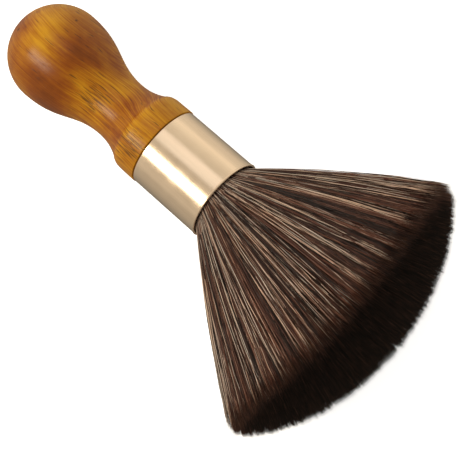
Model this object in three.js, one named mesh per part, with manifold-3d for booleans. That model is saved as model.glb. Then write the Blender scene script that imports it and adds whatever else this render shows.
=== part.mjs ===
// Neck duster brush: a turned wooden ball handle, a metal tube, and a wide, flattened fan of soft bristles.
// The brush lies on its side on z = 0, on the ball and on the underside of the bristles, with the bristles
// towards +X. It is symmetric about y = 0, and the origin is at the middle of its footprint.
//
// Every piece is turned about the brush's own axis. "Along" is the distance along that axis from the joint
// between wood and tube: positive towards the bristles, negative towards the ball. Sizes are in millimetres.
import * as THREE from "three";
import { mergeVertices } from "three/addons/utils/BufferGeometryUtils.js";
import Module from "manifold-3d";

const wasm = await Module();
wasm.setup();

// ---- Driving dimensions ----
const SEGMENTS = 36; // facets round every turned piece
const GAP = 0.3; // clearance between pieces that are glued or pressed together
const LYING_ANGLE = THREE.MathUtils.degToRad(4.6); // the axis rises this much towards the bristles

const BALL_RADIUS = 18.6;
const BALL_ALONG = -52.5;
const WAIST_RADIUS = 11.6;
const WAIST_ALONG = -21.1;
const BALL_HANDLE = 15.7; // how far the ball's width carries on towards the waist before it falls
const WAIST_HANDLE = 13;
const NECK_FILLET = 20.5; // radius of the hollow curve between waist and collar
const COLLAR_LENGTH = 10.7;
const COLLAR_ROUNDING = 4.4;
const COLLAR_FACE_RADIUS = 15.85;
const COLLAR_END_RADIUS = 16;
const TENON_RADIUS = 14;
const TENON_LENGTH = 14;

const TUBE_LENGTH = 30.2;
const TUBE_WALL = 0.6;
const TUBE_BACK_RADIUS = 15.72; // outer radius at the wood
const TUBE_MOUTH_RADIUS = 16.05; // outer radius just behind the mouth lip
const LIP_RADIUS = 0.45; // rolled edge at the mouth
const LIP_PROUD = 0.15;

const GLUE_THICKNESS = 0.45;

const CUP_FLOOR = 1.2;
const CUP_WALL = 0.8;
const CUP_DEPTH = 6.5;
const RESIN_THICKNESS = 2;
const THREAD_RADIUS = 0.35;
const THREAD_TURNS = 5;
const PLUG_LENGTH = 10.5;
const PLUG_BACK_RADIUS = 4;
const PLUG_FRONT_RADIUS = 7;

const FAN_APEX_ALONG = 9; // where the fan's filaments would meet if drawn back into the tube
const FAN_RADIUS = 102.5; // from that point to the tips
const FAN_HALF_WIDTH = 58.3;
const FAN_HALF_DEPTH = 33.4;
const FAN_EDGE_DROP = 3; // the outermost filaments end this much short of the others
const FAN_BULGE = 1.2; // the sides of the fan stand out a little past straight lines

// ---- Positions worked out from the driving dimensions ----
const tubeStart = GAP;
const mouthAlong = tubeStart + TUBE_LENGTH;
const tubeInside = TUBE_BACK_RADIUS - TUBE_WALL;
const cupStart = TENON_LENGTH + GAP;
const cupRadius = tubeInside - GAP;
const resinStart = cupStart + CUP_FLOOR + GAP;
const buttAlong = resinStart + RESIN_THICKNESS + GAP;
const cupEnd = cupStart + CUP_DEPTH;
const knotRadius = cupRadius - CUP_WALL - GAP;
const threadStart = cupEnd + GAP;
const threadEnd = threadStart + 2 * THREAD_RADIUS * THREAD_TURNS;
const boundRadius = cupRadius - 2 * THREAD_RADIUS - GAP;

const material = {
  wood: new THREE.MeshStandardMaterial({ color: 0xa86a22, roughness: 0.3, metalness: 0 }),
  gold: new THREE.MeshStandardMaterial({ color: 0xdcbf94, roughness: 0.22, metalness: 1 }),
  adhesive: new THREE.MeshStandardMaterial({ color: 0xd8c9a0, roughness: 0.5, metalness: 0 }),
  plastic: new THREE.MeshStandardMaterial({ color: 0x1c1a19, roughness: 0.5, metalness: 0 }),
  resin: new THREE.MeshStandardMaterial({ color: 0x8a6a3c, roughness: 0.25, metalness: 0 }),
  thread: new THREE.MeshStandardMaterial({ color: 0x2a2422, roughness: 0.9, metalness: 0 }),
  bristle: new THREE.MeshStandardMaterial({ color: 0x4e3a31, roughness: 0.6, metalness: 0 }),
};

// A profile point: distance along the axis, then radius.
function at(along, radius) {
  return new THREE.Vector2(radius, along);
}

// A closed solid turned from an outline of profile points, with its axis along +X.
function turned(outline) {
  return new THREE.LatheGeometry(outline, SEGMENTS).rotateZ(-Math.PI / 2);
}

// A ring whose section is the closed loop of profile points given.
function turnedRing(loop) {
  return turned([...loop, loop[0].clone()]);
}

function piece(name, geometry, finish) {
  const mesh = new THREE.Mesh(geometry, finish);
  mesh.name = name;
  return mesh;
}

// ---- Wooden handle: ball, waist, collar and tenon in one turned piece ----
function handleOutline() {
  const cap = new THREE.EllipseCurve(0, BALL_ALONG, BALL_RADIUS, BALL_RADIUS, -Math.PI / 2, 0);
  const shoulderBlend = new THREE.CubicBezierCurve(
    at(BALL_ALONG, BALL_RADIUS),
    at(BALL_ALONG + BALL_HANDLE, BALL_RADIUS),
    at(WAIST_ALONG - WAIST_HANDLE, WAIST_RADIUS),
    at(WAIST_ALONG, WAIST_RADIUS),
  );
  const hollow = Math.asin((-COLLAR_LENGTH - WAIST_ALONG) / NECK_FILLET);
  const neck = new THREE.EllipseCurve(
    WAIST_RADIUS + NECK_FILLET,
    WAIST_ALONG,
    NECK_FILLET,
    NECK_FILLET,
    Math.PI,
    Math.PI - hollow,
    true,
  );
  const corner = neck.getPoint(1);
  const collar = new THREE.QuadraticBezierCurve(
    corner,
    at(corner.y + COLLAR_ROUNDING * 0.3, COLLAR_FACE_RADIUS),
    at(corner.y + COLLAR_ROUNDING, COLLAR_FACE_RADIUS),
  );
  const edge = 0.25;
  return [
    ...cap.getPoints(10),
    ...shoulderBlend.getPoints(12).slice(1),
    ...neck.getPoints(5).slice(1),
    ...collar.getPoints(4).slice(1),
    at(-edge, COLLAR_END_RADIUS),
    at(0, COLLAR_END_RADIUS - edge),
    at(0, TENON_RADIUS),
    at(TENON_LENGTH - 1, TENON_RADIUS),
    at(TENON_LENGTH, TENON_RADIUS - 1),
    at(TENON_LENGTH, 0),
  ];
}

// ---- Metal tube, slightly wider at the mouth, with a rolled lip there ----
function tubeLoop() {
  const lipCentre = at(mouthAlong - LIP_RADIUS, TUBE_MOUTH_RADIUS + LIP_PROUD - LIP_RADIUS);
  const lip = new THREE.EllipseCurve(
    lipCentre.x,
    lipCentre.y,
    LIP_RADIUS,
    LIP_RADIUS,
    -Math.PI / 3,
    Math.PI,
  );
  return [
    at(tubeStart, tubeInside),
    at(tubeStart, TUBE_BACK_RADIUS - 0.15),
    at(tubeStart + 0.15, TUBE_BACK_RADIUS),
    ...lip.getPoints(6),
  ];
}

function tenonGlueLoop() {
  const inside = TENON_RADIUS + GAP;
  const end = TENON_LENGTH - 1.5;
  return [
    at(tubeStart + 1, inside),
    at(tubeStart + 1, inside + GLUE_THICKNESS),
    at(end, inside + GLUE_THICKNESS),
    at(end, inside),
  ];
}

// ---- Inside the tube: the cup, the cast resin, the spreader plug and the binding thread ----
function cupOutline() {
  return [
    at(cupStart, 0),
    at(cupStart, cupRadius - 0.5),
    at(cupStart + 0.5, cupRadius),
    at(cupEnd, cupRadius),
    at(cupEnd, cupRadius - CUP_WALL),
    at(cupStart + CUP_FLOOR, cupRadius - CUP_WALL),
    at(cupStart + CUP_FLOOR, 0),
  ];
}

function resinOutline() {
  return [
    at(resinStart, 0),
    at(resinStart, knotRadius),
    at(resinStart + RESIN_THICKNESS, knotRadius),
    at(resinStart + RESIN_THICKNESS, 0),
  ];
}

function plugOutline() {
  const front = buttAlong + PLUG_LENGTH;
  return [
    at(buttAlong, 0),
    at(buttAlong, PLUG_BACK_RADIUS),
    at(front - 2, PLUG_FRONT_RADIUS),
    at(front, PLUG_FRONT_RADIUS - 2),
    at(front, 0),
  ];
}

// Thread wound side by side: one scalloped band.
function threadLoop() {
  const outer = [];
  for (let turn = 0; turn < THREAD_TURNS; turn++) {
    const middle = threadStart + THREAD_RADIUS * (2 * turn + 1);
    const round = new THREE.EllipseCurve(
      boundRadius + THREAD_RADIUS,
      middle,
      THREAD_RADIUS,
      THREAD_RADIUS,
      -Math.PI / 2,
      Math.PI / 2,
    );
    outer.push(...round.getPoints(3).slice(turn ? 1 : 0));
  }
  return [at(threadStart, boundRadius), ...outer, at(threadEnd, boundRadius)];
}

// ---- Bristles ----
// The outline first describes a round fan, as wide all round as the real one is sideways.
function roundFanOutline() {
  const mouthRadius = cupRadius;
  const rimAngle = Math.asin(FAN_HALF_WIDTH / (FAN_RADIUS - FAN_EDGE_DROP));
  const rim = onTips(rimAngle, rimAngle);
  const side = new THREE.QuadraticBezierCurve(
    at(mouthAlong + GAP, mouthRadius),
    at(
      (mouthAlong + rim.y) / 2 - FAN_BULGE,
      (mouthRadius + rim.x) / 2 + FAN_BULGE,
    ),
    rim,
  );
  const tips = [];
  const steps = 9;
  for (let i = 1; i < steps; i++) {
    tips.push(onTips(rimAngle * (1 - i / steps), rimAngle));
  }
  return [
    at(buttAlong + PLUG_LENGTH + GAP, 0),
    at(buttAlong + PLUG_LENGTH + GAP, PLUG_FRONT_RADIUS - 2 + GAP),
    at(buttAlong + PLUG_LENGTH - 2 + GAP, PLUG_FRONT_RADIUS + GAP),
    at(buttAlong, PLUG_BACK_RADIUS + GAP),
    at(buttAlong, knotRadius),
    at(cupEnd, knotRadius),
    at(threadStart, boundRadius - GAP),
    at(threadEnd, boundRadius - GAP),
    ...side.getPoints(10),
    ...tips,
    at(FAN_APEX_ALONG + FAN_RADIUS, 0),
  ];
}

// A point of the tips' surface, at an angle from the axis seen from the fan's apex.
function onTips(angle, rimAngle) {
  const reach = FAN_RADIUS - FAN_EDGE_DROP * (angle / rimAngle) ** 6;
  return at(FAN_APEX_ALONG + reach * Math.cos(angle), reach * Math.sin(angle));
}

// Presses the round fan flat in depth, more and more from the mouth to the rim. Each point keeps its
// distance from the fan's apex, because the filaments keep their length.
function flattenFan(geometry) {
  const position = geometry.getAttribute("position");
  const mouthReach = Math.hypot(mouthAlong - FAN_APEX_ALONG, cupRadius);
  const p = new THREE.Vector3();
  for (let i = 0; i < position.count; i++) {
    p.fromBufferAttribute(position, i);
    if (p.x <= mouthAlong) continue;
    p.x -= FAN_APEX_ALONG;
    const reach = p.length();
    const out = THREE.MathUtils.clamp((reach - mouthReach) / (FAN_RADIUS - mouthReach), 0, 1);
    const depth = THREE.MathUtils.lerp(cupRadius, FAN_HALF_DEPTH, out);
    const width = THREE.MathUtils.lerp(cupRadius, FAN_HALF_WIDTH, out);
    p.z *= (depth / width) * (p.x / Math.sqrt(reach ** 2 - depth ** 2));
    p.setLength(reach);
    p.x += FAN_APEX_ALONG;
    position.setXYZ(i, p.x, p.y, p.z);
  }
  return geometry;
}

// ---- Booleans ----
function solidOf(geometry) {
  const bare = geometry.clone();
  bare.deleteAttribute("normal");
  bare.deleteAttribute("uv");
  const merged = mergeVertices(bare, 1e-3);
  return new wasm.Manifold(
    new wasm.Mesh({
      numProp: 3,
      vertProperties: new Float32Array(merged.getAttribute("position").array),
      triVerts: new Uint32Array(merged.index.array),
    }),
  );
}

function geometryOf(solid) {
  const mesh = solid.getMesh();
  const geometry = new THREE.BufferGeometry();
  geometry.setAttribute("position", new THREE.BufferAttribute(mesh.vertProperties, 3));
  geometry.setIndex(new THREE.BufferAttribute(mesh.triVerts, 1));
  geometry.computeVertexNormals();
  return geometry;
}

// ---- The brush, turned about its own axis, then laid on its side ----
const brush = new THREE.Group();
brush.rotation.y = -LYING_ANGLE;
brush.position.z = BALL_RADIUS - BALL_ALONG * Math.sin(LYING_ANGLE);
brush.updateMatrixWorld(true);

// Where the fan lies on the surface its filaments are pressed flat at z = 0.
function restOnSurface(geometry) {
  const below = new THREE.BoxGeometry(400, 400, 100).translate(0, 0, -50);
  below.applyMatrix4(brush.matrixWorld.clone().invert());
  return geometryOf(solidOf(geometry).subtract(solidOf(below)));
}

brush.add(
  piece("wood_handle", turned(handleOutline()), material.wood),
  piece("ferrule", turnedRing(tubeLoop()), material.gold),
  piece("tenon_glue", turnedRing(tenonGlueLoop()), material.adhesive),
  piece("knot_cup", turned(cupOutline()), material.plastic),
  piece("knot_resin", turned(resinOutline()), material.resin),
  piece("spreader_plug", turned(plugOutline()), material.plastic),
  piece("binding_thread", turnedRing(threadLoop()), material.thread),
  piece("bristle_head", restOnSurface(flattenFan(turned(roundFanOutline()))), material.bristle),
);

const duster = new THREE.Group();
duster.add(brush);
duster.updateMatrixWorld(true);
const footprint = new THREE.Box3().setFromObject(duster);
brush.position.x = -(footprint.min.x + footprint.max.x) / 2;

export default duster;
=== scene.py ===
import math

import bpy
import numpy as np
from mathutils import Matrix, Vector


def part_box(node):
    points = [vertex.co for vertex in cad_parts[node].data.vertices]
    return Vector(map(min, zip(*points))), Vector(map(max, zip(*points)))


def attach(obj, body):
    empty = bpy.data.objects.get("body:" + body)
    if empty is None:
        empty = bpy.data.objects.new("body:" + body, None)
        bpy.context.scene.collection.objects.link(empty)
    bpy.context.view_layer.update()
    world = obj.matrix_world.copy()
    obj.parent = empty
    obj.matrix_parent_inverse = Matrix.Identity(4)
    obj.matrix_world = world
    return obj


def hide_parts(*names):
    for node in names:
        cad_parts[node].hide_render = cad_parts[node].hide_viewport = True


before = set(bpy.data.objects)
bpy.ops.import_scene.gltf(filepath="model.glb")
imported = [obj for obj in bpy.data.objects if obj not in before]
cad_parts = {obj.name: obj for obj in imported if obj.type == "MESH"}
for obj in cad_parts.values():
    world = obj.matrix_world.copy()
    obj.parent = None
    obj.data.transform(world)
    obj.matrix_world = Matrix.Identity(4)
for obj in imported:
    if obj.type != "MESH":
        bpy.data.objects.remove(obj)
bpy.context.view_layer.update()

# Neck duster brush: the looks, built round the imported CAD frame.
#
# Lengths are in metres. Shapes are laid out in the brush's own coordinates: "along" runs on the brush's
# axis from the joint between wood and tube towards the bristle tips, "across" is the fan's width and "up"
# its depth. brush_to_world turns them into the row frame, where the brush lies on z = 0. All materials but
# the filaments' and the floor's use the same coordinates, in millimetres.

MM = 0.001


# ---------------------------------------------------------------- the brush's axis, from the frame
def middle(node):
    low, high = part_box(node)
    return (low + high) / 2


def half_width(node):
    low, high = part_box(node)
    return (high.y - low.y) / 2


def node_points(node):
    """The CAD node's vertices as rows of x, y, z."""
    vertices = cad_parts[node].data.vertices
    points = np.zeros(len(vertices) * 3)
    vertices.foreach_get("co", points)
    return points.reshape(-1, 3)


AXIS = (middle("binding_thread") - middle("tenon_glue")).normalized()
ACROSS = Vector((0, 1, 0))
UP = AXIS.cross(ACROSS)


def span(node):
    """How far a node reaches along the axis, from the joint between wood and tube."""
    distance = (node_points(node) - np.array(JOINT)) @ np.array(AXIS)
    return float(distance.min()), float(distance.max())


JOINT = middle("tenon_glue")  # a first place on the axis, from which the joint is found
JOINT = JOINT + AXIS * span("ferrule")[0]
TUBE_END = span("ferrule")[1]
KNOT_RADIUS = half_width("knot_cup")
TUBE_RADIUS = half_width("ferrule")
BALL_RADIUS = half_width("wood_handle")
FAN_HALF_WIDTH = half_width("bristle_head")
BALL_ALONG = span("wood_handle")[0] + BALL_RADIUS


def brush_to_world(points):
    """Rows of (along, across, up) as rows of x, y, z."""
    basis = np.array([AXIS, ACROSS, UP])
    return np.asarray(points) @ basis + np.array(JOINT)


# ---------------------------------------------------------------- meshes
def new_object(name, mesh, material, slot, *replaced):
    mesh.materials.append(material)
    piece = bpy.data.objects.new(name, mesh)
    bpy.context.scene.collection.objects.link(piece)
    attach(piece, "root")
    if replaced:
        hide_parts(*replaced)
    return piece


def shade(mesh, sharp_degrees=None):
    mesh.polygons.foreach_set("use_smooth", [True] * len(mesh.polygons))
    if sharp_degrees is not None:
        mesh.set_sharp_from_angle(angle=math.radians(sharp_degrees))
    mesh.validate()
    mesh.update()


ON_AXIS = 1e-7  # an outline point with less radius than this becomes one vertex


def turned_mesh(name, outline, segments=160, closed=False):
    """A solid turned about the brush's axis from (along, radius) points, or a ring if the outline closes."""
    outline = np.array(outline)
    turn = np.arange(segments) * 2 * math.pi / segments
    rows = []
    for along, radius in outline:
        row = np.stack(
            [np.full(segments, along), radius * np.cos(turn), radius * np.sin(turn)], axis=1
        )
        rows.append(row if radius > ON_AXIS else row[:1])
    starts = np.cumsum([0] + [len(row) for row in rows])
    faces = []
    count = len(rows)
    for i in range(count if closed else count - 1):
        j = (i + 1) % count
        for k in range(segments):
            m = (k + 1) % segments
            a, b = starts[i] + k % len(rows[i]), starts[i] + m % len(rows[i])
            c, d = starts[j] + m % len(rows[j]), starts[j] + k % len(rows[j])
            face = list(dict.fromkeys([a, b, c, d]))
            faces.append([int(v) for v in face])
    mesh = bpy.data.meshes.new(name)
    mesh.from_pydata(brush_to_world(np.concatenate(rows)).tolist(), [], faces)
    return mesh


def arc(centre_along, centre_radius, radius, start, end, steps):
    """Points on a circle in the (along, radius) plane; angles in degrees, 0 along the axis."""
    angles = np.radians(np.linspace(start, end, steps + 1))
    return [
        (centre_along + radius * math.cos(a), centre_radius + radius * math.sin(a)) for a in angles
    ]


def bezier(points, steps):
    """A Bezier curve of any degree through its control points."""
    curve = []
    for t in np.linspace(0, 1, steps + 1):
        level = [np.array(p, float) for p in points]
        while len(level) > 1:
            level = [a * (1 - t) + b * t for a, b in zip(level, level[1:])]
        curve.append(tuple(level[0]))
    return curve


# ---------------------------------------------------------------- material helpers
class Shader:
    """A Principled material with short calls for the nodes that drive it."""

    def __init__(self, name, **values):
        self.material = bpy.data.materials.new(name)
        self.material.use_nodes = True
        self.tree = self.material.node_tree
        self.principled = self.tree.nodes["Principled BSDF"]
        for socket, value in values.items():
            self.principled.inputs[socket.replace("_", " ")].default_value = value

    def node(self, kind, inputs=(), **settings):
        node = self.tree.nodes.new(kind)
        for key, value in settings.items():
            setattr(node, key, value)
        for socket, value in dict(inputs).items():
            self.put(node.inputs[socket], value)
        return node

    def put(self, socket, value):
        if isinstance(value, bpy.types.NodeSocket):
            self.tree.links.new(value, socket)
        else:
            socket.default_value = value

    def math(self, operation, a, b=0.0, clamp=False):
        node = self.node("ShaderNodeMath", {0: a, 1: b}, operation=operation, use_clamp=clamp)
        return node.outputs[0]

    def noise(self, vector, scale, detail=2.0, roughness=0.5, distortion=0.0):
        node = self.node(
            "ShaderNodeTexNoise",
            {
                "Vector": vector,
                "Scale": scale,
                "Detail": detail,
                "Roughness": roughness,
                "Distortion": distortion,
            },
        )
        return node.outputs["Fac"]

    def stretch(self, vector, scale):
        node = self.node("ShaderNodeMapping", {"Vector": vector, "Scale": scale})
        return node.outputs["Vector"]

    def between(self, value, low, high, out_low=0.0, out_high=1.0):
        node = self.node(
            "ShaderNodeMapRange",
            {"Value": value, 1: low, 2: high, 3: out_low, 4: out_high},
            interpolation_type="SMOOTHSTEP",
        )
        return node.outputs[0]

    def ramp(self, value, stops):
        node = self.node("ShaderNodeValToRGB", {"Fac": value})
        elements = node.color_ramp.elements
        while len(elements) < len(stops):
            elements.new(0.5)
        for element, (place, colour) in zip(elements, stops):
            element.position = place
            element.color = (*colour, 1)
        return node.outputs["Color"]

    def mix(self, factor, a, b, blend="MIX"):
        node = self.node("ShaderNodeMix", data_type="RGBA", blend_type=blend)
        self.put(node.inputs[0], factor)
        self.put(node.inputs[6], a if isinstance(a, bpy.types.NodeSocket) else (*a, 1))
        self.put(node.inputs[7], b if isinstance(b, bpy.types.NodeSocket) else (*b, 1))
        return node.outputs[2]

    def brush_millimetres(self):
        """Object coordinates turned into the brush's own: x along, y across, z up, in millimetres."""
        coordinates = self.node("ShaderNodeTexCoord").outputs["Object"]
        shifted = self.node(
            "ShaderNodeVectorMath",
            {0: coordinates, 1: tuple(JOINT)},
            operation="SUBTRACT",
        ).outputs[0]
        turned = self.node(
            "ShaderNodeVectorRotate",
            {"Vector": shifted, "Axis": (0, 1, 0), "Angle": math.asin(AXIS.z)},
            rotation_type="AXIS_ANGLE",
        ).outputs[0]
        return self.node(
            "ShaderNodeVectorMath", {0: turned, "Scale": 1 / MM}, operation="SCALE"
        ).outputs[0]

    def distance(self, place, centre):
        node = self.node("ShaderNodeVectorMath", {0: place, 1: centre}, operation="DISTANCE")
        return node.outputs["Value"]

    def bump(self, height, distance, strength=1.0, socket="Normal"):
        node = self.node(
            "ShaderNodeBump", {"Height": height, "Distance": distance, "Strength": strength}
        )
        self.put(self.principled.inputs[socket], node.outputs["Normal"])

    def colour(self, socket):
        self.put(self.principled.inputs["Base Color"], socket)

    def roughness(self, socket):
        self.put(self.principled.inputs["Roughness"], socket)


# ---------------------------------------------------------------- wood
STRAW = (0.63, 0.295, 0.008)
OCHRE = (0.445, 0.158, 0.002)
CHESTNUT = (0.28, 0.068, 0.001)
UMBER = (0.145, 0.03, 0.0008)
PORE = (0.045, 0.014, 0.003)
GRAIN_TILT = 0.3  # how much the layers of growth lean from upright across the piece
GRAIN_DRIFT = 6.0  # mm: slow wander of the layers
GRAIN_WOBBLE = 0.7  # mm: quick wander of the layers
GRAIN_STRETCH = 0.015  # how fast the layers change along the piece, as a share of how fast through it
GROWTH_SCALE = 0.62
GROWTH_SHARE = 0.2  # how much the layers of growth change the tone
LINE_SCALE = 1.35
LINE_SHARE = 0.05  # how much the thin dark lines between them do
BASE_TONE = 0.47
RUFFLE_SHARE = 0.34  # how much broad mottling does
PATCH_SHIFT = -3.0  # mm: added to the noise of 0 to 1 that makes the clouds' edges uneven
PATCH_SHIFT_MEAN = PATCH_SHIFT + 0.5  # how far the two together move a cloud, which is allowed for
CLOUDS_AND_PAINTED_LIGHT = (  # along, across (mm from the joint), radius, and depth of tone, dark above zero; some are painted shade, painted light and a painted reflection, as marked
    # partly painted shade: the next two darken the ball's slope towards the bristles, which faces away from
    # the lights
    (-43.5, 9.0, 10.0, 0.38),
    (-44.0, -10.0, 10.0, 0.42),
    (-68.0, 1.0, 8.0, 0.3),
    (-62.0, -14.0, 7.0, 0.16),
    (-33.0, 8.5, 6.0, 0.14),
    # partly painted light: a lighter cloud on the ball's side towards the lights
    (-59.0, 6.5, 9.0, -0.34),
    (-51.0, 0.0, 6.0, -0.16),
    (-33.0, 0.0, 6.0, -0.16),
    # painted reflection: a lighter patch on the neck where a soft light reflects
    (-21.5, 7.0, 5.0, -0.22),
)
HOLLOW_SHADE = 0.2  # darker in the hollow beside the collar, partly painted shade and partly dirt, and lighter on the collar: painted light where its face catches the light
COLLAR_PAINTED_LIGHT = -0.12  # and lighter on the collar
KNOT_DEPTH = 0.75
PORE_DEPTH = 0.65
PORE_GAIN = 16.0  # how sharply a pore begins
FAR_AWAY = 100.0  # mm: further than any place on the handle is from a patch
KNOTS = (  # small knots on the ball: along, across (mm from the joint), and radius
    (-66.5, -2.5, 0.7),
    (-52.0, 13.5, 0.5),
)
COARSE_PATCHES = (  # along, across, up (mm from the joint): where the open pores lie closest together
    (-27.5, -2.5, 12.0),
    (-6.0, -7.5, 13.5),
)


def surface_height(along, across):
    """Height over the axis of the ball's surface, in mm, at a place given in mm."""
    square = (BALL_RADIUS / MM) ** 2 - (along - BALL_ALONG / MM) ** 2 - across**2
    return math.sqrt(max(0.0, square))


def open_pores(s, place, sheets):
    """Short dark pores, closest together near the coarse patches."""
    coarse = FAR_AWAY
    for centre in COARSE_PATCHES:
        coarse = s.math("MINIMUM", coarse, s.distance(place, centre))
    threshold = s.between(coarse, 2.0, 9.0, 0.53, 0.75)
    pore_noise = s.noise(s.stretch(sheets, (0.17, 3.0, 0.3)), 1.0, 0.0)
    return s.math("MULTIPLY", s.math("SUBTRACT", pore_noise, threshold), PORE_GAIN, clamp=True)


def stain_and_painted_light(s, place, along):
    """The wood's tone, from 0 dark to 1 light: mottling, clouds (some painted shade, painted light and a
    painted reflection), and the bands by the collar, darker in the hollow (partly painted shade) and lighter
    on the collar (painted light).
    """
    ruffle = s.noise(s.stretch(place, (0.07, 0.11, 0.11)), 1.0, 3.0, 0.55)
    mottle = s.math("MULTIPLY", s.between(ruffle, 0.25, 0.75), RUFFLE_SHARE)
    tone = s.math("ADD", mottle, BASE_TONE)
    uneven = s.node("ShaderNodeTexNoise", {"Vector": place, "Scale": 0.12}).outputs["Color"]
    shift = (PATCH_SHIFT,) * 3
    offset = s.node("ShaderNodeVectorMath", {0: uneven, 1: shift}, operation="ADD").outputs[0]
    shifted = s.node("ShaderNodeVectorMath", {0: place, 1: offset}, operation="ADD").outputs[0]
    flat = s.stretch(shifted, (1, 1, 0))
    # Some of these clouds are painted shade, painted light and a painted reflection.
    for cloud_along, across, size, depth in CLOUDS_AND_PAINTED_LIGHT:
        gap = s.distance(flat, (cloud_along + PATCH_SHIFT_MEAN, across + PATCH_SHIFT_MEAN, 0))
        tone = s.math("SUBTRACT", tone, s.between(gap, size * 1.5, size * 0.2, 0.0, depth))
    # Darker band in the hollow beside the collar: partly painted shade, partly dirt.
    hollow = s.math("MULTIPLY", s.between(along, -25, -16), s.between(along, -9.5, -11.5))
    tone = s.math("SUBTRACT", tone, s.math("MULTIPLY", hollow, HOLLOW_SHADE))
    # Painted light: the collar lighter than the neck.
    return s.math("SUBTRACT", tone, s.between(along, -11, -9, 0.0, COLLAR_PAINTED_LIGHT))


def small_knots(s, place):
    knots = 0.0
    for along, across, size in KNOTS:
        gap = s.distance(place, (along, across, surface_height(along, across)))
        knots = s.math("MAXIMUM", knots, s.between(gap, size * 1.6, size * 0.4))
    return knots


def lacquered_wood():
    s = Shader(
        "lacquered_wood",
        Coat_Weight=0.5,
        Coat_Roughness=0.27,
        Coat_IOR=1.5,
        Specular_IOR_Level=0.05,
    )
    place = s.brush_millimetres()
    axes = s.node("ShaderNodeSeparateXYZ", {0: place}).outputs
    drift = s.noise(s.stretch(place, (0.022, 0.05, 0.05)), 1.0, 1.0)
    wobble = s.noise(s.stretch(place, (0.05, 0.25, 0.25)), 1.0, 2.0)
    layer = s.math("ADD", axes[1], s.math("MULTIPLY", axes[2], GRAIN_TILT))
    layer = s.math("ADD", layer, s.math("MULTIPLY", drift, GRAIN_DRIFT))
    layer = s.math("ADD", layer, s.math("MULTIPLY", wobble, GRAIN_WOBBLE))
    slow_along = s.math("MULTIPLY", axes[0], GRAIN_STRETCH)
    sheet = s.node("ShaderNodeCombineXYZ", {0: slow_along, 1: layer}).outputs[0]
    growth = s.noise(sheet, GROWTH_SCALE, 3.0, 0.6)
    lines = s.between(s.noise(sheet, LINE_SCALE, 2.0, 0.5), 0.56, 0.68)
    sheets = s.node("ShaderNodeCombineXYZ", {0: axes[0], 1: layer, 2: axes[2]}).outputs[0]
    fibre = s.noise(s.stretch(sheets, (0.04, 1.5, 0.08)), 1.0, 2.0, 0.6)
    hair_line = s.noise(s.stretch(sheets, (0.06, 3.0, 0.2)), 1.0, 1.0, 0.6)
    pores = open_pores(s, place, sheets)
    tone = stain_and_painted_light(s, place, axes[0])
    growth_tone = s.math("MULTIPLY", s.math("SUBTRACT", growth, 0.5), GROWTH_SHARE)
    tone = s.math("ADD", tone, growth_tone)
    visible = s.between(tone, 0.1, 0.7, 0.22, 0.6)  # strokes show best on pale wood and by the neck
    visible = s.math("ADD", visible, s.between(axes[0], -38.0, -26.0, 0.0, 0.25))
    strokes = s.math("ADD", s.math("SUBTRACT", fibre, 0.5), s.math("SUBTRACT", hair_line, 0.5))
    tone = s.math("ADD", tone, s.math("MULTIPLY", strokes, visible))
    tone = s.math("SUBTRACT", tone, s.math("MULTIPLY", lines, LINE_SHARE), clamp=True)
    colour = s.ramp(tone, [(0.0, UMBER), (0.3, CHESTNUT), (0.62, OCHRE), (1.0, STRAW)])
    colour = s.mix(s.math("MULTIPLY", pores, PORE_DEPTH), colour, PORE)
    colour = s.mix(s.math("MULTIPLY", small_knots(s, place), KNOT_DEPTH), colour, PORE)
    s.colour(colour)
    s.roughness(s.between(fibre, 0.2, 0.8, 0.55, 0.42))
    relief = s.math("ADD", s.math("MULTIPLY", pores, -1.0), s.math("MULTIPLY", fibre, 0.35))
    s.bump(relief, 0.07 * MM, 0.6)
    s.bump(relief, 0.05 * MM, 0.5, "Coat Normal")
    return s.material


WAIST_RADIUS = 11.6 * MM
WAIST_ALONG = -21.4 * MM
BALL_HANDLE = 15.7 * MM
WAIST_HANDLE = 13 * MM
NECK_FILLET = 20.5 * MM
COLLAR_LENGTH = 10.7 * MM
COLLAR_ROUNDING = 4.4 * MM
COLLAR_FACE_RADIUS = 15.85 * MM
COLLAR_END_RADIUS = 16 * MM
COLLAR_END = -0.3 * MM
TENON_RADIUS = 14 * MM
TENON_END = 13.7 * MM
COLLAR_EDGE = 0.35 * MM
HANDLE_SHARP = 14  # degrees: edges that turn more than this are drawn sharp


def handle_outline():
    hollow = math.degrees(math.asin((COLLAR_END - COLLAR_LENGTH - WAIST_ALONG) / NECK_FILLET))
    neck = arc(WAIST_ALONG, WAIST_RADIUS + NECK_FILLET, NECK_FILLET, -90, -90 + hollow, 24)
    corner = neck[-1]
    collar = bezier(
        [
            corner,
            (corner[0] + COLLAR_ROUNDING * 0.3, COLLAR_FACE_RADIUS),
            (corner[0] + COLLAR_ROUNDING, COLLAR_FACE_RADIUS),
        ],
        14,
    )
    blend = [
        (BALL_ALONG, BALL_RADIUS),
        (BALL_ALONG + BALL_HANDLE, BALL_RADIUS),
        (WAIST_ALONG - WAIST_HANDLE, WAIST_RADIUS),
        (WAIST_ALONG, WAIST_RADIUS),
    ]
    return [
        (BALL_ALONG - BALL_RADIUS, 0),
        *arc(BALL_ALONG, 0, BALL_RADIUS, 180, 90, 48)[1:],
        *bezier(blend, 60)[1:],
        *neck[1:],
        *collar[1:],
        (COLLAR_END - COLLAR_EDGE, COLLAR_END_RADIUS),
        *arc(COLLAR_END - COLLAR_EDGE, COLLAR_END_RADIUS - COLLAR_EDGE, COLLAR_EDGE, 90, 0, 4)[1:],
        (COLLAR_END, TENON_RADIUS),
        (TENON_END, TENON_RADIUS),
        (TENON_END, 0),
    ]


def make_handle():
    mesh = turned_mesh("wood_handle_turned", handle_outline())
    shade(mesh, HANDLE_SHARP)
    new_object("wood_handle_turned", mesh, lacquered_wood(), "lacquered_wood", "wood_handle")


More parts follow.
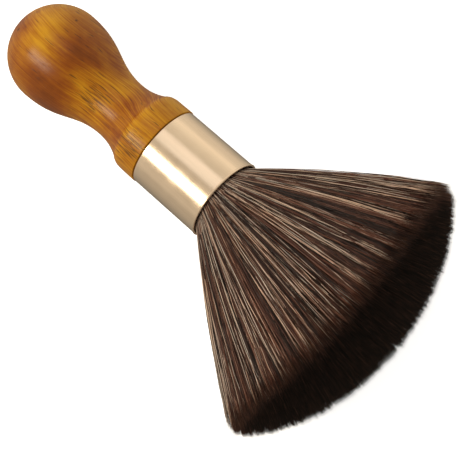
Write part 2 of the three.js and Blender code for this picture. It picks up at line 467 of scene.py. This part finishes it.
# ---------------------------------------------------------------- metal tube
def gold_metal():
    s = Shader("gold_metal", Metallic=1.0, Specular_IOR_Level=0.5)
    place = s.brush_millimetres()
    drawn = s.noise(s.stretch(place, (0.05, 3.0, 3.0)), 1.0, 3.0)
    smudge = s.noise(s.stretch(place, (0.12, 0.12, 0.12)), 1.0, 3.0, 0.6)
    tint = s.math("ADD", s.math("MULTIPLY", drawn, 0.5), s.math("MULTIPLY", smudge, 0.5))
    s.colour(s.ramp(tint, [(0.3, (0.83, 0.635, 0.465)), (0.7, (0.9, 0.70, 0.52))]))
    s.roughness(s.between(smudge, 0.3, 0.7, 0.19, 0.26))
    s.bump(drawn, 0.02 * MM, 0.3)
    return s.material


TUBE_WALL = 0.6 * MM
TUBE_BACK_RADIUS = 15.72 * MM
LIP_RADIUS = 0.45 * MM
BACK_EDGE = 0.25 * MM
TUBE_SHARP = 35  # degrees


def tube_outline():
    """A rolled lip at the mouth and a plain edge at the wood."""
    inside = TUBE_BACK_RADIUS - TUBE_WALL
    lip = arc(TUBE_END - LIP_RADIUS, TUBE_RADIUS - LIP_RADIUS, LIP_RADIUS, 150, -90, 24)
    return [
        (0, inside),
        *arc(BACK_EDGE, TUBE_BACK_RADIUS - BACK_EDGE, BACK_EDGE, 180, 90, 5),
        *lip,
    ]


def make_tube():
    mesh = turned_mesh("ferrule_tube", tube_outline(), closed=True)
    shade(mesh, TUBE_SHARP)
    new_object("ferrule_tube", mesh, gold_metal(), "gold_metal", "ferrule")


# ---------------------------------------------------------------- bristles
FAN_APEX = 8.7 * MM  # along: where the filaments would meet if drawn back into the tube
FAN_RADIUS = span("bristle_head")[1] - FAN_APEX
FAN_HALF_DEPTH = 33.4 * MM
FAN_EDGE_DROP = 3 * MM  # how much shorter the fan is at its rim
FAN_BULGE = 1.2 * MM  # how far the outer filaments bow outwards on their way
RIM_ANGLE = math.asin(FAN_HALF_WIDTH / (FAN_RADIUS - FAN_EDGE_DROP))
ROOT_DEPTH = 1.5 * MM  # how far inside the tube a modelled strand starts
FLOOR_CLEARANCE = 0.15 * MM
ROOT_SHARE = 0.985  # how much of the knot's radius the filaments fill at the mouth
ROOT_PINCH = 0.97  # inside the tube they stand at this share of that distance from the axis
TRIM = 0.8 * MM  # added to every filament's length, before its lock and chance change it
TRIM_SKEW = 0.2 * MM  # this much more on one side of the fan, less on the other
LOCK_HALF_WIDTH = 0.025  # of a lock, as a share of the fan's half width: its edges end short
LOCK_CROWN = 0.3  # its middle ends longer by this share of the layer's figure,
LOCK_FALL = 1.3  # from which its edges fall by up to this share
LOCK_MARGIN = 0.03  # locks also stand this far inside a layer's band,
LOCKS_BEYOND = 1.02  # and out to about this share of the rim
LONG_SHARE = 0.03  # this share of the filaments is left longer,
LONG_REACH = 1.2 * MM  # by up to this
TIP_SCATTER = 0.35 * MM
BEND_SCATTER = 0.75 * MM
STRAY_TIP_SCATTER = 1.6 * MM
STRAY_BEND_SCATTER = 1.3 * MM
WAVE_COUNT = (1.2, 3.8)  # waves down a filament, least and most
WAVE_SIZE = (0.05, 0.36)  # mm, at the tip
ROOT_SPREAD = 0.07  # radians: filaments cross one another by about this much on their way out
SIDEWAYS_LEAN = math.radians(2.1)  # the fan sits a little to one side of the handle's line
UV_COLUMNS = 256


def tip_points(out, turn, reach_change=0.0):
    """Where filaments end. out is 0 on the axis and 1 at the rim; turn is the angle round the axis."""
    angle = out * RIM_ANGLE
    reach = FAN_RADIUS - FAN_EDGE_DROP * out**6
    along = reach * np.cos(angle)
    across = reach * np.sin(angle) * np.cos(turn)
    flat = FAN_HALF_DEPTH / FAN_HALF_WIDTH * along / np.sqrt(reach**2 - FAN_HALF_DEPTH**2)
    up = reach * np.sin(angle) * np.sin(turn) * flat
    points = np.stack([along, across, up], axis=-1)
    points *= ((reach + reach_change) / np.linalg.norm(points, axis=-1))[..., None]
    points[..., 0] += FAN_APEX
    return points


def root_points(out, turn):
    """Where filaments cross the mouth of the tube."""
    radius = KNOT_RADIUS * out * ROOT_SHARE
    return np.stack(
        [np.full_like(out, TUBE_END), radius * np.cos(turn), radius * np.sin(turn)], axis=-1
    )


BATCH = 4000  # filaments compared with the locks at one time


def nearest_lock(out, turn, lock_out, lock_turn):
    """Which lock each filament belongs to, and the square of how far it stands from that lock's middle."""
    here = np.stack([out * np.cos(turn), out * np.sin(turn)], axis=1)
    centres = np.stack([lock_out * np.cos(lock_turn), lock_out * np.sin(lock_turn)], axis=1)
    owner = np.empty(len(out), int)
    apart = np.empty(len(out))
    for first in range(0, len(out), BATCH):
        gap = ((here[first : first + BATCH, None, :] - centres[None, :, :]) ** 2).sum(axis=2)
        owner[first : first + BATCH] = np.argmin(gap, axis=1)
        apart[first : first + BATCH] = gap.min(axis=1)
    return owner, apart


def strand_paths(rng, out, turn, steps, clumps, uneven, spike=0.0, start=0.0, stray=None):
    """Points down each filament, and its lock. start > 0 leaves out the hidden part by the tube."""
    count = len(out)
    clump_out, clump_turn, clump_pull, clump_reach, clump_bend = clumps
    owner, apart = nearest_lock(out, turn, clump_out, clump_turn)
    reach_change = clump_reach[owner] - rng.random(count) ** 2 * uneven + TRIM
    reach_change += spike * (LOCK_CROWN - np.clip(apart / LOCK_HALF_WIDTH**2, 0, LOCK_FALL))
    reach_change += TRIM_SKEW * out * np.cos(turn)
    reach_change += np.where(rng.random(count) < LONG_SHARE, rng.random(count) * LONG_REACH, 0)
    tip = tip_points(out, turn, reach_change)
    centre = tip_points(clump_out[owner], clump_turn[owner], reach_change)
    tip += (centre - tip) * clump_pull[owner][:, None]
    tip += clump_bend[owner] + rng.normal(0, TIP_SCATTER, (count, 3))
    root = root_points(out, turn + rng.normal(0, ROOT_SPREAD, count))
    outward = np.stack([np.zeros(count), np.cos(turn), np.sin(turn)], axis=1)
    bend = (root + tip) / 2 + (outward - [1, 0, 0]) * (FAN_BULGE * out)[:, None]
    bend += rng.normal(0, BEND_SCATTER, (count, 3))
    if stray is not None:
        bend[stray] += rng.normal(0, STRAY_BEND_SCATTER, (int(stray.sum()), 3))
        tip[stray] += rng.normal(0, STRAY_TIP_SCATTER, (int(stray.sum()), 3))
    t = np.linspace(start, 1, steps)[None, :, None]
    path = (
        root[:, None, :] * (1 - t) ** 2 + 2 * bend[:, None, :] * t * (1 - t) + tip[:, None, :] * t**2
    )
    phase = rng.random((count, 1, 3)) * 2 * math.pi
    waves = rng.uniform(*WAVE_COUNT, (count, 1, 1))
    path += np.sin(phase + t * waves * 2 * math.pi) * t * rng.uniform(*WAVE_SIZE, (count, 1, 1)) * MM
    if start == 0.0:
        inside = path[:, :1, :] - np.array([ROOT_DEPTH, 0, 0])
        inside[:, :, 1:] *= ROOT_PINCH
        path = np.concatenate([inside, path], axis=1)
    return path, owner


PRESS_HEIGHT = 1.2 * MM  # the resting surface starts to press filaments flat from this height down


def lean_and_rest(path):
    """Leans the fan sideways and presses what would sink into the surface flat on it; gives world points."""
    past_mouth = np.clip(path[..., 0] - TUBE_END, 0, None)
    path[..., 1] -= past_mouth * math.tan(SIDEWAYS_LEAN)
    world = brush_to_world(path)
    height = world[..., 2]
    room = PRESS_HEIGHT - FLOOR_CLEARANCE
    pressed = FLOOR_CLEARANCE + room * np.exp((height - PRESS_HEIGHT) / room)
    world[..., 2] = np.where(height < PRESS_HEIGHT, pressed, height)
    return world


SIDE_HINT = (0.13, 0.31, 0.94)  # any direction that no filament follows
COLUMN_SPREAD = 0.25  # how far a strand's corners stand apart in the map, in columns
MAP_EDGE = 0.002  # the map's rows keep this far from its ends


def strand_mesh(name, paths, radii, columns, start=0.0):
    """Three-sided tapering tubes, closed at the root and drawn to a point at the tip."""
    count, steps, _ = paths.shape
    tangent = np.gradient(paths, axis=1)
    tangent /= np.linalg.norm(tangent, axis=2, keepdims=True)
    side = np.cross(tangent, SIDE_HINT)
    side /= np.linalg.norm(side, axis=2, keepdims=True)
    other = np.cross(tangent, side)
    rings = []
    for corner in range(3):
        angle = corner * 2 * math.pi / 3
        offset = side * math.cos(angle) + other * math.sin(angle)
        rings.append(paths + offset * radii[:, :, None])
    body = np.stack(rings, axis=2)[:, :-1].reshape(count, -1, 3)
    vertices = np.concatenate([body, paths[:, -1:, :]], axis=1).reshape(-1, 3)
    per_strand = 3 * (steps - 1) + 1
    quads = []
    for step in range(steps - 2):
        for corner in range(3):
            following = (corner + 1) % 3
            quads.append(
                [
                    3 * step + corner,
                    3 * step + following,
                    3 * step + 3 + following,
                    3 * step + 3 + corner,
                ]
            )
    last = 3 * (steps - 2)
    triangles = [[last + c, last + (c + 1) % 3, per_strand - 1] for c in range(3)] + [[2, 1, 0]]
    loops_one = np.array([v for face in quads + triangles for v in face])
    sizes_one = np.array([4] * len(quads) + [3] * len(triangles))
    loops = (loops_one[None, :] + np.arange(count)[:, None] * per_strand).reshape(-1)
    sizes = np.tile(sizes_one, count)
    mesh = bpy.data.meshes.new(name)
    mesh.vertices.add(len(vertices))
    mesh.vertices.foreach_set("co", vertices.astype(np.float32).reshape(-1))
    mesh.loops.add(len(loops))
    mesh.loops.foreach_set("vertex_index", loops.astype(np.int32))
    mesh.polygons.add(len(sizes))
    loop_starts = np.concatenate([[0], np.cumsum(sizes)[:-1]]).astype(np.int32)
    mesh.polygons.foreach_set("loop_start", loop_starts)
    mesh.polygons.foreach_set("use_smooth", np.ones(len(sizes), bool))
    # Each strand takes one column of the map, from root at the bottom to tip at the top.
    corner_of = loops_one % 3
    step_of = np.minimum(loops_one // 3, steps - 1)
    corner_shift = (corner_of - 1) * COLUMN_SPREAD
    corner_shift[loops_one == per_strand - 1] = 0
    u = (columns[:, None] + 0.5 + corner_shift[None, :]) / UV_COLUMNS
    v = start + (1 - start) * (MAP_EDGE + (1 - 2 * MAP_EDGE) * step_of / (steps - 1))
    v = np.broadcast_to(v, u.shape)
    layer = mesh.uv_layers.new(name="OFBake")
    layer.data.foreach_set("uv", np.stack([u, v], axis=-1).astype(np.float32).reshape(-1))
    mesh.update(calc_edges=True)
    return mesh


def bristle_material(name, stops, along_stops, gloss):
    """Colour by the strand's own column, which runs from the darkest to the palest, and from root to tip."""
    s = Shader(name, Roughness=0.42, Specular_IOR_Level=gloss)
    uv = s.node("ShaderNodeUVMap", uv_map="OFBake").outputs["UV"]
    axes = s.node("ShaderNodeSeparateXYZ", {0: uv}).outputs
    column = s.math("FLOOR", s.math("MULTIPLY", axes[0], float(UV_COLUMNS)))
    colour = s.ramp(axes[0], stops)
    cell = s.node(
        "ShaderNodeCombineXYZ",
        {0: s.math("MULTIPLY", column, 3.1), 1: s.math("MULTIPLY", axes[1], 7.0)},
    ).outputs[0]
    patch = s.noise(cell, 1.0)
    warmth = s.noise(s.stretch(cell, (1.7, 0.3, 1.0)), 1.0, 0.0)
    tint = s.ramp(warmth, [(0.35, (0.86, 0.85, 0.86)), (0.65, (1.0, 0.82, 0.7))])
    colour = s.mix(1.0, colour, tint, "MULTIPLY")
    colour = s.mix(1.0, colour, s.ramp(patch, [(0.3, (0.7, 0.7, 0.7)), (0.7, (1, 1, 1))]), "MULTIPLY")
    colour = s.mix(1.0, colour, s.ramp(axes[1], along_stops), "MULTIPLY")
    s.colour(colour)
    return s.material


LOCK_BEND = 0.4 * MM


def clump_set(rng, count, pull, short, low=0.0):
    """Locks of filaments: where each stands, how tightly it gathers, how short it is and how it bends."""
    out = np.sqrt(rng.uniform(low**2, LOCKS_BEYOND, count))
    turn = rng.uniform(0, 2 * math.pi, count)
    return (
        out,
        turn,
        rng.uniform(*pull, count),
        -np.abs(rng.normal(0, short, count)),
        rng.normal(0, LOCK_BEND, (count, 3)),
    )


STRAND_RADIUS = 0.1 * MM
SIDE_STEPS = 12
SIDE_LAYERS = (
    # strands, meshes, from and to (share of the rim), locks, gather, then how far the whole lock, each strand
    # and the lock's edges fall short, tone and start
    (8400, 3, (0.93, 1.0), 420, (0.3, 0.85), 1.4 * MM, 1.6 * MM, 3.0 * MM, 0.37, 0.0),
    (5600, 2, (0.84, 1.0), 900, (0.1, 0.6), 1.5 * MM, 3.0 * MM, 1.5 * MM, 0.24, 0.0),
    (4400, 1, (0.92, 0.985), 1500, (0.0, 0.4), 0.4 * MM, 1.6 * MM, 0.0, 0.33, 0.7),
)
# Pale filaments: partly lighter hairs, partly painted highlight; their near-white tones stand in for light
# glinting on the hair.
PALE_HIGHLIGHT_SHARE = 0.046
PALE_THICKER = 1.35
PALE_HIGHLIGHT_TONE = (0.89, 1)
ORDINARY_PALEST = 0.85  # the palest tone of a filament that isn't one of the pale ones
STRAY_SHARE = 0.004
OUTERMOST = (0.985, 1.005)  # where pale and stray filaments stand, as shares of the rim
LOCK_TONE_SPREAD = 0.12
STRAND_TONE_SPREAD = 0.24
THICKNESS_SPREAD = (0.75, 1.2)
TAPER = 0.6  # how much thinner a filament is at its tip
PARTINGS = (  # where locks part, painted shade: filaments there are darker, standing in for the shade in the gap; angle round the fan, half width, depth of tone
    (0.98, 0.04, 0.25),
    (1.12, 0.03, 0.2),
    (1.95, 0.035, 0.2),
    (2.4, 0.05, 0.2),
)
END_STRANDS = 28000
END_STEPS = 4
END_PIECES = 4
END_RADIUS = 0.15 * MM
END_REACH = 0.97  # share of the rim that the inner filaments fill
END_START = 0.72  # the inner filaments are modelled from this share of their length to the tip
END_LOCKS = 3600
END_GATHER = (0.2, 0.7)
END_LOCK_SHORT = 0.35 * MM
END_UNEVEN = 1.6 * MM
END_RIM_FROM = 0.88  # from here outwards, over END_RIM_WIDTH, the inner filaments turn paler
END_RIM_WIDTH = 0.08
END_RIM_TONE = (0.75, 0.95)
SIDE_STOPS = [
    (0.0, (0.014, 0.005, 0.003)),
    (0.3, (0.066, 0.022, 0.013)),
    (0.6, (0.215, 0.08, 0.049)),
    (0.84, (0.45, 0.228, 0.16)),
    # the palest stops, taken by the pale filaments, are partly painted highlight
    (0.9, (0.9, 0.68, 0.55)),
    (1.0, (1.0, 0.915, 0.8)),
]
SIDE_ALONG = [
    (0.0, (0.3, 0.3, 0.3)),
    (0.1, (0.68, 0.68, 0.68)),
    (0.35, (0.84, 0.83, 0.83)),
    (0.62, (0.9, 0.88, 0.88)),
    (0.85, (0.96, 0.93, 0.92)),
    (1.0, (1.0, 0.94, 0.9)),
]
# The inner filaments are near black: partly darker tips, partly painted shade, as the fan's end face turns
# away from the lights.
END_STOPS = [
    (0.0, (0.008, 0.004, 0.003)),
    (0.5, (0.028, 0.013, 0.009)),
    (0.84, (0.13, 0.062, 0.04)),
    (1.0, (0.34, 0.18, 0.12)),
]
# painted shade: the inner filaments are darker away from their tips, deeper in the fan
END_ALONG = [(0.0, (0.2, 0.2, 0.2)), (0.6, (0.3, 0.3, 0.3)), (0.85, (0.7, 0.7, 0.7)), (1.0, (1, 1, 1))]


def strand_radii(rng, count, steps, thick):
    t = np.linspace(0, 1, steps)[None, :]
    size = rng.uniform(*THICKNESS_SPREAD, (count, 1))
    return thick * size * (1 - TAPER * t**6)


def tone_columns(tone):
    return (np.clip(tone, 0, 0.999) * UV_COLUMNS).astype(int)


def make_side_bristles():
    """The outer layers, seen from the side down their whole length."""
    rng = np.random.default_rng(11)
    material = bristle_material("bristle_side", SIDE_STOPS, SIDE_ALONG, 0.5)
    made = 0
    for row in SIDE_LAYERS:
        strands, pieces, band, locks, gather, short, uneven, spike, middle_tone, start = row
        clumps = clump_set(rng, locks, gather, short, low=band[0] - LOCK_MARGIN)
        clump_tone = rng.normal(0, LOCK_TONE_SPREAD, locks)
        each = strands // pieces
        for _ in range(pieces):
            made += 1
            pale = rng.random(each) < PALE_HIGHLIGHT_SHARE * (start == 0)
            stray = rng.random(each) < STRAY_SHARE * (start == 0)
            out = np.where(pale | stray, rng.uniform(*OUTERMOST, each), rng.uniform(*band, each))
            turn = rng.uniform(0, 2 * math.pi, each)
            steps = SIDE_STEPS if start == 0 else END_STEPS
            path, owner = strand_paths(
                rng, out, turn, steps, clumps, uneven, spike, start=start, stray=stray
            )
            radii = strand_radii(rng, each, path.shape[1], STRAND_RADIUS)
            # Pale ones start thin and reach their full thickness half way down.
            radii[pale] *= np.linspace(0.7, 1.3, path.shape[1]).clip(0.7, 1) * PALE_THICKER
            tone = middle_tone + clump_tone[owner] + rng.normal(0, STRAND_TONE_SPREAD, each)
            # Painted shade: filaments near a parting are darker, and fewer of them are pale.
            for angle, width, depth in PARTINGS:
                near = np.exp(-(((turn - angle) / width) ** 2))
                tone -= depth * near
                pale &= near < rng.uniform(0.2, 1, each)
            # Pale filaments take the near-white tones: partly painted highlight.
            tone = np.where(pale, rng.uniform(*PALE_HIGHLIGHT_TONE, each), np.clip(tone, 0, ORDINARY_PALEST))
            mesh = strand_mesh(
                f"bristles_side_{made}", lean_and_rest(path), radii, tone_columns(tone), start
            )
            new_object(mesh.name, mesh, material, "bristles", "bristle_head")


def make_end_bristles():
    """The filaments inside the fan, of which only the ends are seen."""
    rng = np.random.default_rng(23)
    clumps = clump_set(rng, END_LOCKS, END_GATHER, END_LOCK_SHORT)
    material = bristle_material("bristle_end", END_STOPS, END_ALONG, 0.2)
    each = END_STRANDS // END_PIECES
    for number in range(END_PIECES):
        out = END_REACH * np.sqrt(rng.uniform(0, 1, each))
        turn = rng.uniform(0, 2 * math.pi, each)
        path, _ = strand_paths(rng, out, turn, END_STEPS, clumps, END_UNEVEN, start=END_START)
        world = lean_and_rest(path)
        radii = strand_radii(rng, each, path.shape[1], END_RADIUS)
        rim = np.clip((out - END_RIM_FROM) / END_RIM_WIDTH, 0, 1)
        tone = rng.beta(1, 2, each) * (1 - rim) + rng.uniform(*END_RIM_TONE, each) * rim
        mesh = strand_mesh(f"bristles_end_{number + 1}", world, radii, tone_columns(tone))
        new_object(mesh.name, mesh, material, "bristles", "bristle_head")


CORE_SHARE = 0.9  # of the rim
CORE_SHORT = 6 * MM  # how far inside the tips the core ends
CORE_CAP_RINGS = 16


def make_bristle_core():
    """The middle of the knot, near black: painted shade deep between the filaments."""
    s = Shader("bristle_core_painted_shade", Roughness=0.9, Specular_IOR_Level=0.1)
    place = s.brush_millimetres()
    speck = s.noise(place, 2.5, 3.0, 0.7)
    # Near black: painted shade between the filaments, where real filaments would stand.
    s.colour(s.ramp(speck, [(0.35, (0.004, 0.003, 0.003)), (0.7, (0.02, 0.012, 0.01))]))
    rows, segments = 40, 96
    rng = np.random.default_rng(5)
    turn = np.arange(segments) * 2 * math.pi / segments
    rings = []
    root = root_points(np.full(segments, CORE_SHARE), turn) - [ROOT_DEPTH, 0, 0]
    tip = tip_points(np.full(segments, CORE_SHARE), turn, -CORE_SHORT)
    for k in range(rows + 1):
        t = k / rows
        rings.append(root * (1 - t) + tip * t)
    for k in range(1, CORE_CAP_RINGS):
        out = np.full(segments, CORE_SHARE * (1 - k / CORE_CAP_RINGS))
        ring = tip_points(out, turn, -CORE_SHORT)
        rings.append(ring + rng.normal(0, 0.3 * MM, ring.shape))
    points = np.concatenate(rings)
    poles = [
        [TUBE_END - ROOT_DEPTH, 0, 0],
        tip_points(np.array([0.0]), np.array([0.0]), -CORE_SHORT)[0],
    ]
    world = lean_and_rest(np.concatenate([points, np.array(poles)]))
    faces = []
    for i in range(len(rings) - 1):
        for k in range(segments):
            m = (k + 1) % segments
            a, b = i * segments, (i + 1) * segments
            faces.append([a + k, a + m, b + m, b + k])
    bottom, top = len(points), len(points) + 1
    last = (len(rings) - 1) * segments
    for k in range(segments):
        m = (k + 1) % segments
        faces.append([bottom, m, k])
        faces.append([top, last + k, last + m])
    mesh = bpy.data.meshes.new("bristle_core_painted_shade")
    mesh.from_pydata(world.tolist(), [], faces)
    shade(mesh)
    new_object("bristle_core_painted_shade", mesh, s.material, "bristles", "bristle_head")


# ---------------------------------------------------------------- the pieces inside, kept from the CAD
def plain_material(name, dark, light, scale, roughness):
    s = Shader(name)
    place = s.brush_millimetres()
    grain = s.noise(place, scale, 3.0, 0.6)
    s.colour(s.ramp(grain, [(0.3, dark), (0.7, light)]))
    s.roughness(s.between(grain, 0.3, 0.7, roughness, roughness + 0.15))
    s.bump(grain, 0.04 * MM, 0.4)
    return s.material


def dress(node, material):
    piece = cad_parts[node]
    piece.data.materials.clear()
    piece.data.materials.append(material)


def dress_inside():
    plastic = plain_material("black_plastic", (0.008, 0.008, 0.008), (0.014, 0.013, 0.013), 6.0, 0.4)
    resin = plain_material("cast_resin", (0.22, 0.12, 0.03), (0.32, 0.2, 0.07), 0.5, 0.15)
    glue = plain_material("dried_glue", (0.6, 0.5, 0.3), (0.75, 0.66, 0.45), 0.8, 0.3)
    thread = plain_material("wound_thread", (0.012, 0.01, 0.009), (0.03, 0.024, 0.02), 4.0, 0.75)
    dress("knot_cup", plastic)
    dress("spreader_plug", plastic)
    dress("knot_resin", resin)
    dress("tenon_glue", glue)
    dress("binding_thread", thread)


# ---------------------------------------------------------------- studio
CAMERA_TILT = math.radians(17)  # how far the bristle end leans towards the camera
PICTURE_TURN = math.radians(41.2)  # how far below level the brush runs in the picture
VIEW_WIDTH = 165.4 * MM  # how much of the scene the camera takes in at the brush
AIM_ALONG = 38.4 * MM
AIM_ACROSS = -4.5 * MM
LENS = 420.0
SENSOR = 36.0
NEAREST, FURTHEST = 0.01, 60  # how far the camera sees


def camera_axes():
    """Right, up and towards-the-camera directions."""
    lift = CAMERA_TILT - math.asin(AXIS.z)
    towards = Vector((math.sin(lift), 0, math.cos(lift)))
    flat_axis = (AXIS - towards * AXIS.dot(towards)).normalized()
    flat_across = towards.cross(flat_axis)
    right = flat_axis * math.cos(PICTURE_TURN) + flat_across * math.sin(PICTURE_TURN)
    up = flat_across * math.cos(PICTURE_TURN) - flat_axis * math.sin(PICTURE_TURN)
    return right, up, towards


def make_camera():
    right, up, towards = camera_axes()
    aim = JOINT + AXIS * AIM_ALONG + ACROSS * AIM_ACROSS
    distance = VIEW_WIDTH * LENS / SENSOR
    data = bpy.data.cameras.new("camera")
    data.lens = LENS
    data.sensor_width = SENSOR
    data.clip_start = NEAREST
    data.clip_end = FURTHEST
    camera = bpy.data.objects.new("camera", data)
    basis = Matrix((right, up, towards)).transposed().to_4x4()
    camera.matrix_world = Matrix.Translation(aim + towards * distance) @ basis
    bpy.context.scene.collection.objects.link(camera)
    bpy.context.scene.camera = camera
    return aim


def soft_box(name, aim, direction, distance, size, power, colour=(1, 1, 1)):
    """A light at a direction given as (right, up, towards the camera); size is across and along the brush."""
    right, up, towards = camera_axes()
    way = (right * direction[0] + up * direction[1] + towards * direction[2]).normalized()
    long_side = (AXIS - way * AXIS.dot(way)).normalized()
    data = bpy.data.lights.new(name, "AREA")
    data.shape = "RECTANGLE"
    data.size, data.size_y = size
    data.energy = power
    data.color = colour
    light = bpy.data.objects.new(name, data)
    basis = Matrix((long_side.cross(way), long_side, way)).transposed().to_4x4()
    light.matrix_world = Matrix.Translation(aim + way * distance) @ basis
    bpy.context.scene.collection.objects.link(light)


SKY = (  # how bright the room is, from straight below (0) over the horizon (0.5) to straight above (1)
    (0.0, 0.12),
    (0.1, 0.34),
    (0.28, 0.56),
    (0.45, 0.6),
    (0.52, 0.8),
    (0.7, 0.61),
    (0.84, 0.52),
    (1.0, 0.42),
)
SKY_COLOUR = (1, 0.94, 0.79)
KEY_COLOUR = (1, 0.91, 0.74)
KEY_POWER = 13.7
FILL_POWER = 1.4
LIGHT_DISTANCE = 1.6
SIDE_GAIN = (-0.3, 0.28)  # the room is brighter behind the handle and on one side of the brush


def make_world():
    world = bpy.data.worlds.new("studio")
    world.use_nodes = True
    tree = world.node_tree

    def node(kind, *sources):
        made = tree.nodes.new(kind)
        for socket, source in zip(made.inputs, sources):
            tree.links.new(source, socket)
        return made

    direction = node("ShaderNodeTexCoord").outputs["Generated"]
    axes = node("ShaderNodeSeparateXYZ", direction).outputs
    height = node("ShaderNodeMapRange", axes[2])
    height.inputs["From Min"].default_value = -1
    ramp = node("ShaderNodeValToRGB", height.outputs[0])
    elements = ramp.color_ramp.elements
    while len(elements) < len(SKY):
        elements.new(0.5)
    for element, (place, bright) in zip(elements, SKY):
        element.position = place
        element.color = (*(bright * part for part in SKY_COLOUR), 1)
    gain = 1.0
    for axis, share in zip(axes, SIDE_GAIN):
        step = node("ShaderNodeMath", axis)
        step.operation = "MULTIPLY_ADD"
        step.inputs[1].default_value = share
        if isinstance(gain, float):
            step.inputs[2].default_value = gain
        else:
            tree.links.new(gain, step.inputs[2])
        gain = step.outputs[0]
    background = tree.nodes["Background"]
    tree.links.new(ramp.outputs["Color"], background.inputs["Color"])
    tree.links.new(gain, background.inputs["Strength"])
    bpy.context.scene.world = world


def make_studio(aim):
    """A strong light beside the brush, a weak one above it in the picture, and the room round them."""
    soft_box("key", aim, (-0.81, -0.03, 0.585), LIGHT_DISTANCE, (0.56, 0.95), KEY_POWER, KEY_COLOUR)
    soft_box("fill_above", aim, (-0.19, 0.60, 0.777), LIGHT_DISTANCE, (0.9, 0.9), FILL_POWER)
    make_world()


FLOOR_RADIUS = 5.5  # with the backdrop, near enough that the side views' clipping distance spares it
BACKDROP_WIDTH = 1.5
BACKDROP_HEIGHT = 0.4
FLOOR_GLOW = 0.8  # light given off, which keeps the background as white as a photo studio's


def make_floor():
    """A pale floor whose far edge turns up into a low backdrop, so that it has no horizon line."""
    segments, steps = 96, 12
    turn = np.arange(segments) * 2 * math.pi / segments
    round_floor = np.stack([np.cos(turn), np.sin(turn)], axis=1)
    points = [(0, 0, 0)]
    for k in range(steps + 1):
        radius = FLOOR_RADIUS + BACKDROP_WIDTH * k / steps
        height = BACKDROP_HEIGHT * (k / steps) ** 2
        points += [(x * radius, y * radius, height) for x, y in round_floor]
    faces = []
    for k in range(segments):
        following = (k + 1) % segments
        faces.append((0, 1 + k, 1 + following))
        for i in range(steps):
            inner, outer = 1 + i * segments, 1 + (i + 1) * segments
            faces.append((inner + k, outer + k, outer + following, inner + following))
    mesh = bpy.data.meshes.new("floor")
    mesh.from_pydata(points, [], faces)
    shade(mesh)
    s = Shader("floor", Roughness=0.9, Specular_IOR_Level=0.1, Emission_Strength=FLOOR_GLOW)
    coordinates = s.node("ShaderNodeTexCoord").outputs["Object"]
    s.colour(s.ramp(s.noise(coordinates, 3.0), [(0.0, (0.92, 0.92, 0.92)), (1.0, (0.94, 0.94, 0.94))]))
    mesh.materials.append(s.material)
    floor = bpy.data.objects.new("floor", mesh)
    bpy.context.scene.collection.objects.link(floor)
    floor.visible_glossy = False  # so the tube reflects the room's darker lower half instead
    floor.visible_diffuse = False  # and the floor's glow doesn't light the brush


make_handle()
make_tube()
make_bristle_core()
make_side_bristles()
make_end_bristles()
dress_inside()
make_floor()
make_studio(make_camera())
bpy.context.scene.view_settings.view_transform = "Standard"
